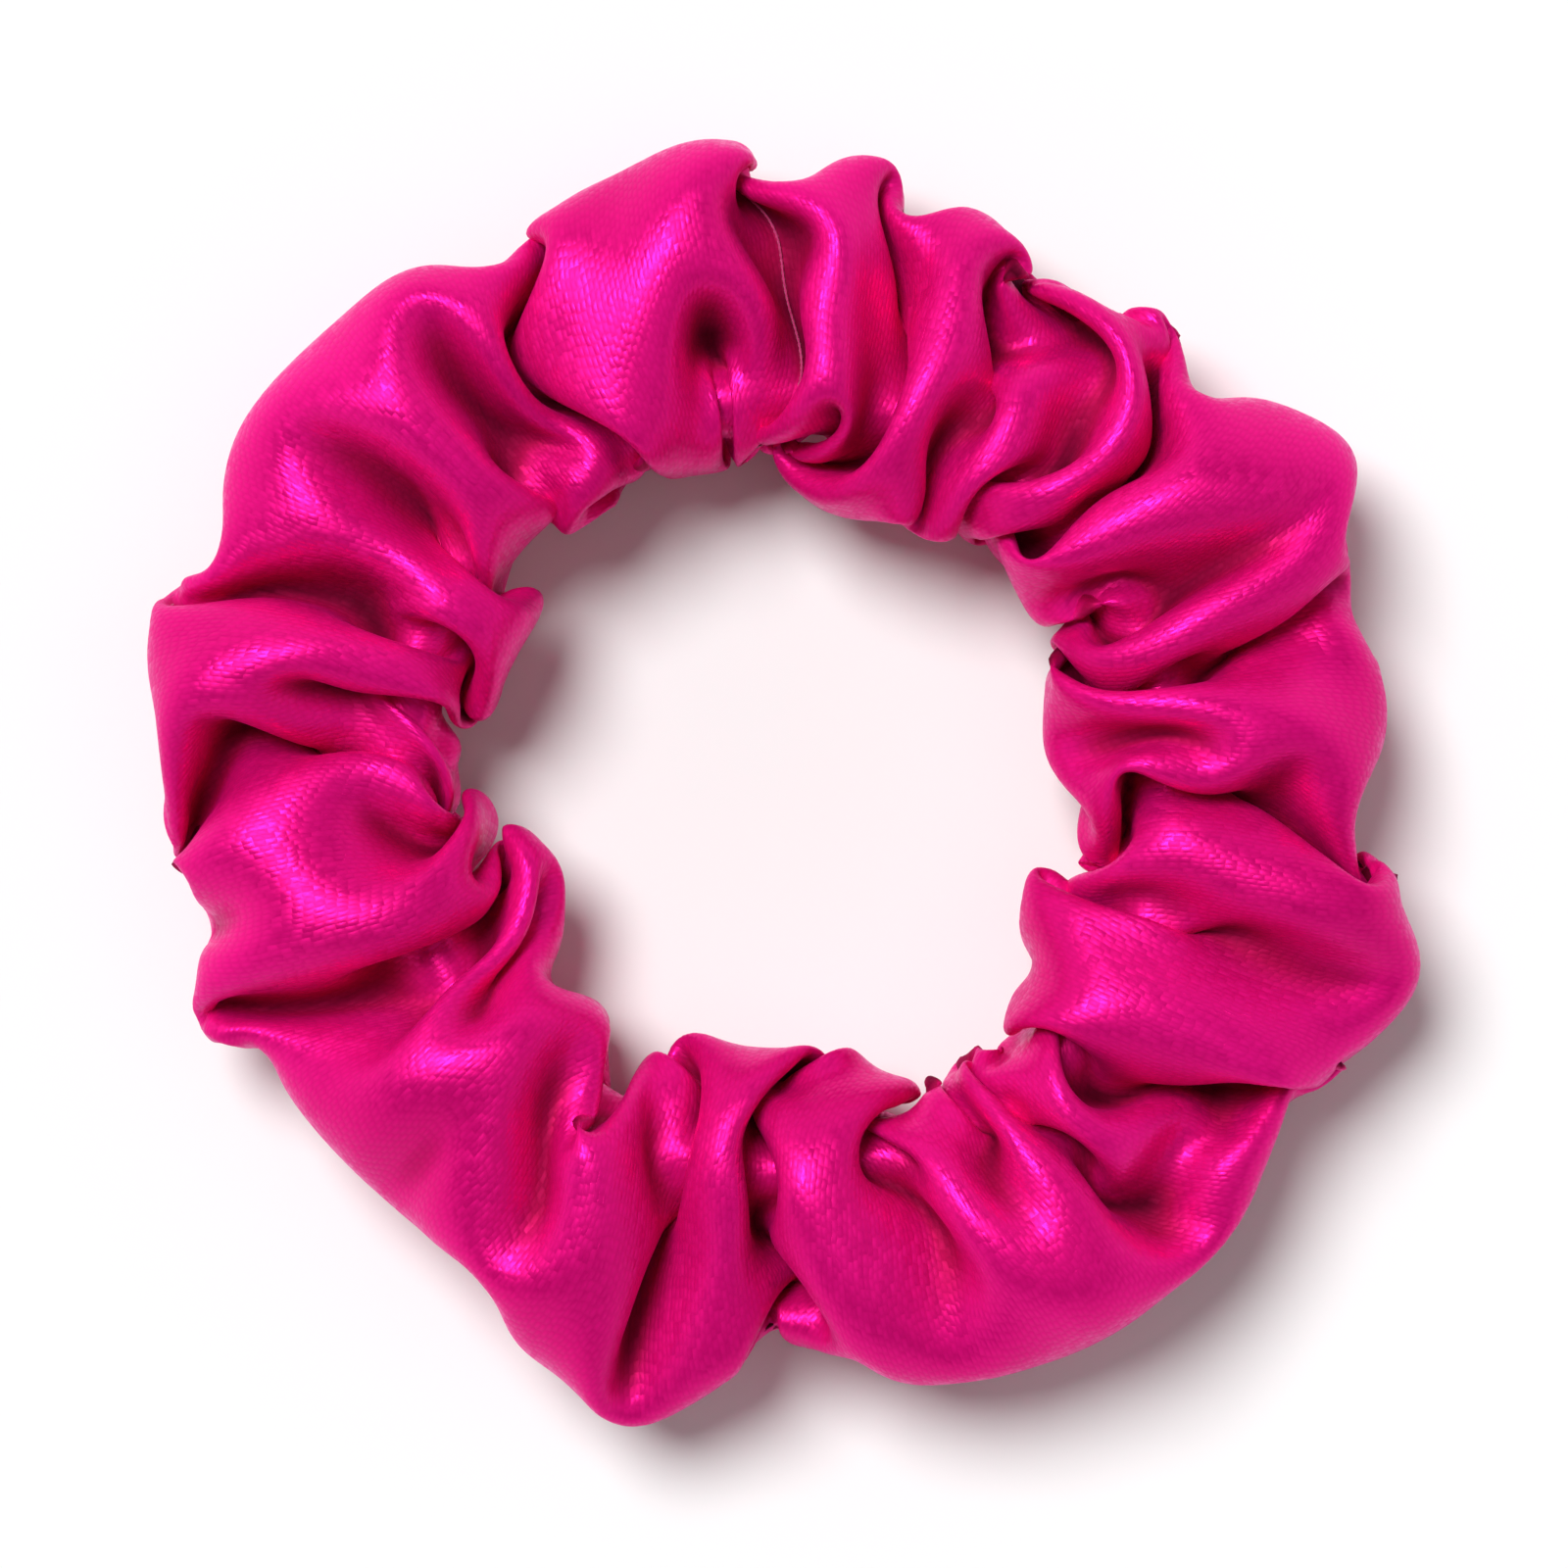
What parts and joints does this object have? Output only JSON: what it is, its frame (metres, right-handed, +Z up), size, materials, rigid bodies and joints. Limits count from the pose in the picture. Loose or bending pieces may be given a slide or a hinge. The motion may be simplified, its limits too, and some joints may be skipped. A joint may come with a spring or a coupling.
{
  "type": "scrunchie",
  "caption": "Gathered satin hair tie: a fuchsia cloth tube sewn closed round a braided elastic band, lying flat as a ring that stretches open.",
  "frame": {"origin": "centre of the ring, on the surface that it lies on", "axes": "+Z up through the ring's opening, +Y from the centre towards the closing seam, +X to the right seen from above"},
  "size_m": [0.112, 0.112, 0.024],
  "materials": {
    "satin": "glossy fuchsia polyester satin",
    "magenta_thread": "spun polyester sewing thread",
    "white_braid": "matt braided polyester",
    "natural_rubber": "natural latex, square-cut",
    "white_thread": "spun polyester sewing thread"
  },
  "bodies": {
    "held_side": {"cover_held_half": "satin", "long_seam_needle_thread_held_half": "magenta_thread", "long_seam_bobbin_thread_held_half": "magenta_thread", "closing_seam_needle_thread": "magenta_thread", "closing_seam_bobbin_thread": "magenta_thread", "elastic_braid_held_half": "white_braid", "rubber_cords_held_half": "natural_rubber", "elastic_join_needle_thread": "white_thread", "elastic_join_bobbin_thread": "white_thread"},
    "pulled_side": {"cover_pulled_half": "satin", "long_seam_needle_thread_pulled_half": "magenta_thread", "long_seam_bobbin_thread_pulled_half": "magenta_thread", "elastic_braid_pulled_half": "white_braid", "rubber_cords_pulled_half": "natural_rubber"}
  },
  "joints": [
    {"name": "stretch", "type": "slide", "parent": "held_side", "child": "pulled_side", "axis": [0, -1, 0], "range_m": [0, 0.08], "stiffness_N_per_m": 100}
  ]
}
